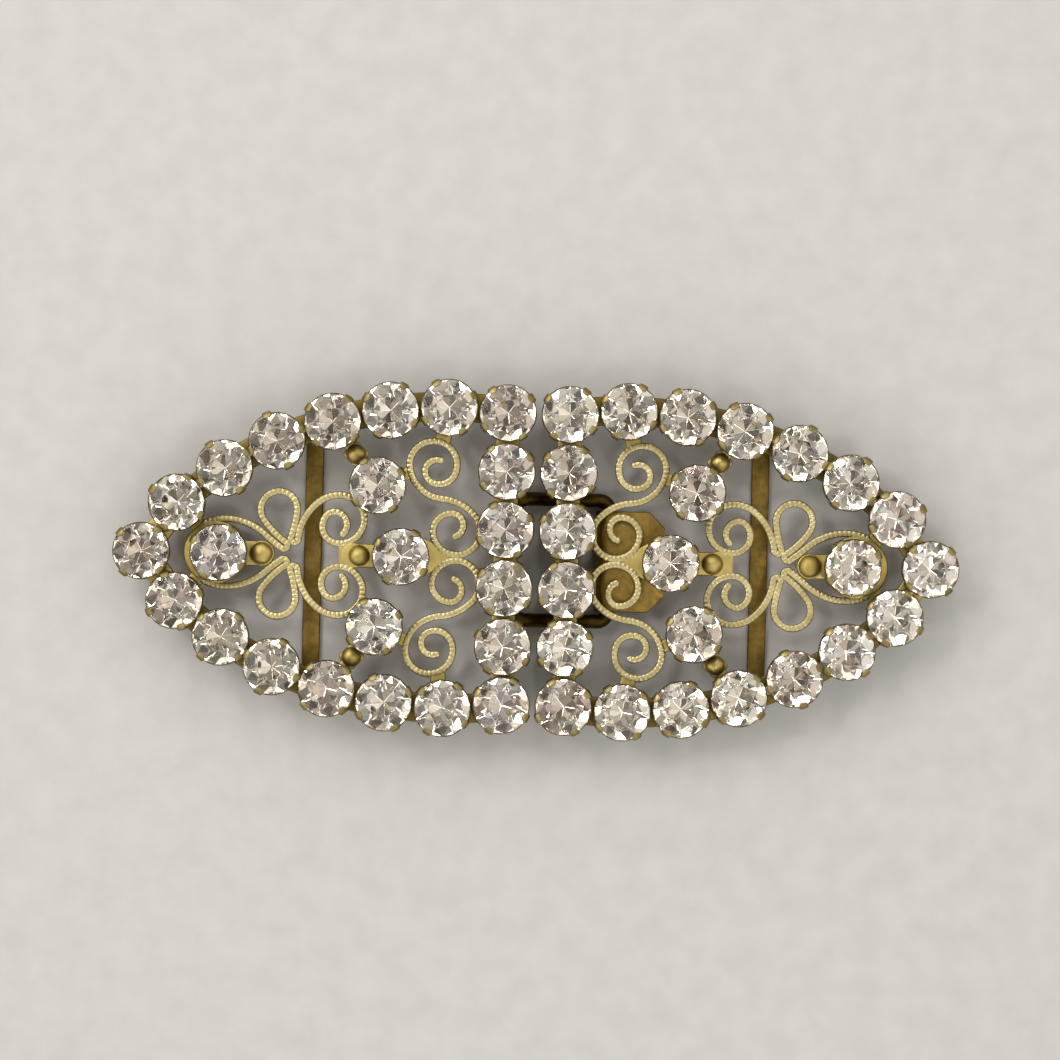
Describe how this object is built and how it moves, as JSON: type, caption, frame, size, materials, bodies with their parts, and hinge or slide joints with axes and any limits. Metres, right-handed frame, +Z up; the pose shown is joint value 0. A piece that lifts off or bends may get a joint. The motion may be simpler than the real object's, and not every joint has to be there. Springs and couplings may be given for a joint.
{
  "type": "rhinestone hair clasp",
  "caption": "Pointed oval two-part hair clasp of pierced brass scrollwork set with round foiled stones; a hook and loop join the halves and bars on the back take a ribbon.",
  "frame": {"origin": "under the middle of the closed clasp, on the plane that the two ribbon bars rest on", "axes": "+X along the length from the left half to the right half, +Y across the width, +Z up through the stones"},
  "size_m": [0.085, 0.036, 0.0076],
  "materials": {
    "filigree_brass": "aged raw brass, stamped and milled",
    "strip_brass": "dull tarnished brass strip and wire",
    "cup_brass": "drawn brass, lightly worn",
    "stone_glass": "clear cut glass with a foiled back"
  },
  "bodies": {
    "right_half": {"right_filigree": "filigree_brass", "right_ribbon_bar": "strip_brass", "right_rim_cups": "cup_brass", "right_column_cups": "cup_brass", "right_inner_cups": "cup_brass", "right_rim_stone_1": "stone_glass", "right_rim_stone_2": "stone_glass", "right_rim_stone_3": "stone_glass", "right_rim_stone_4": "stone_glass", "right_rim_stone_5": "stone_glass", "right_rim_stone_6": "stone_glass", "right_rim_stone_7": "stone_glass", "right_rim_stone_8": "stone_glass", "right_rim_stone_9": "stone_glass", "right_rim_stone_10": "stone_glass", "right_rim_stone_11": "stone_glass", "right_rim_stone_12": "stone_glass", "right_rim_stone_13": "stone_glass", "right_rim_stone_14": "stone_glass", "right_rim_stone_15": "stone_glass", "right_column_stone_1": "stone_glass", "right_column_stone_2": "stone_glass", "right_column_stone_3": "stone_glass", "right_column_stone_4": "stone_glass", "right_upper_side_stone": "stone_glass", "right_lower_side_stone": "stone_glass", "right_middle_stone": "stone_glass", "right_inner_tip_stone": "stone_glass", "hook": "strip_brass"},
    "left_half": {"left_filigree": "filigree_brass", "left_ribbon_bar": "strip_brass", "left_rim_cups": "cup_brass", "left_column_cups": "cup_brass", "left_inner_cups": "cup_brass", "left_rim_stone_1": "stone_glass", "left_rim_stone_2": "stone_glass", "left_rim_stone_3": "stone_glass", "left_rim_stone_4": "stone_glass", "left_rim_stone_5": "stone_glass", "left_rim_stone_6": "stone_glass", "left_rim_stone_7": "stone_glass", "left_rim_stone_8": "stone_glass", "left_rim_stone_9": "stone_glass", "left_rim_stone_10": "stone_glass", "left_rim_stone_11": "stone_glass", "left_rim_stone_12": "stone_glass", "left_rim_stone_13": "stone_glass", "left_rim_stone_14": "stone_glass", "left_rim_stone_15": "stone_glass", "left_column_stone_1": "stone_glass", "left_column_stone_2": "stone_glass", "left_column_stone_3": "stone_glass", "left_column_stone_4": "stone_glass", "left_upper_side_stone": "stone_glass", "left_lower_side_stone": "stone_glass", "left_middle_stone": "stone_glass", "left_inner_tip_stone": "stone_glass", "loop": "strip_brass"}
  },
  "joints": [
    {"name": "clasp_fold", "type": "hinge", "parent": "right_half", "child": "left_half", "pos_m": [0.00736, 0, 0.00144], "axis": [0, -1, 0], "range_deg": [-3, 170]}
  ]
}
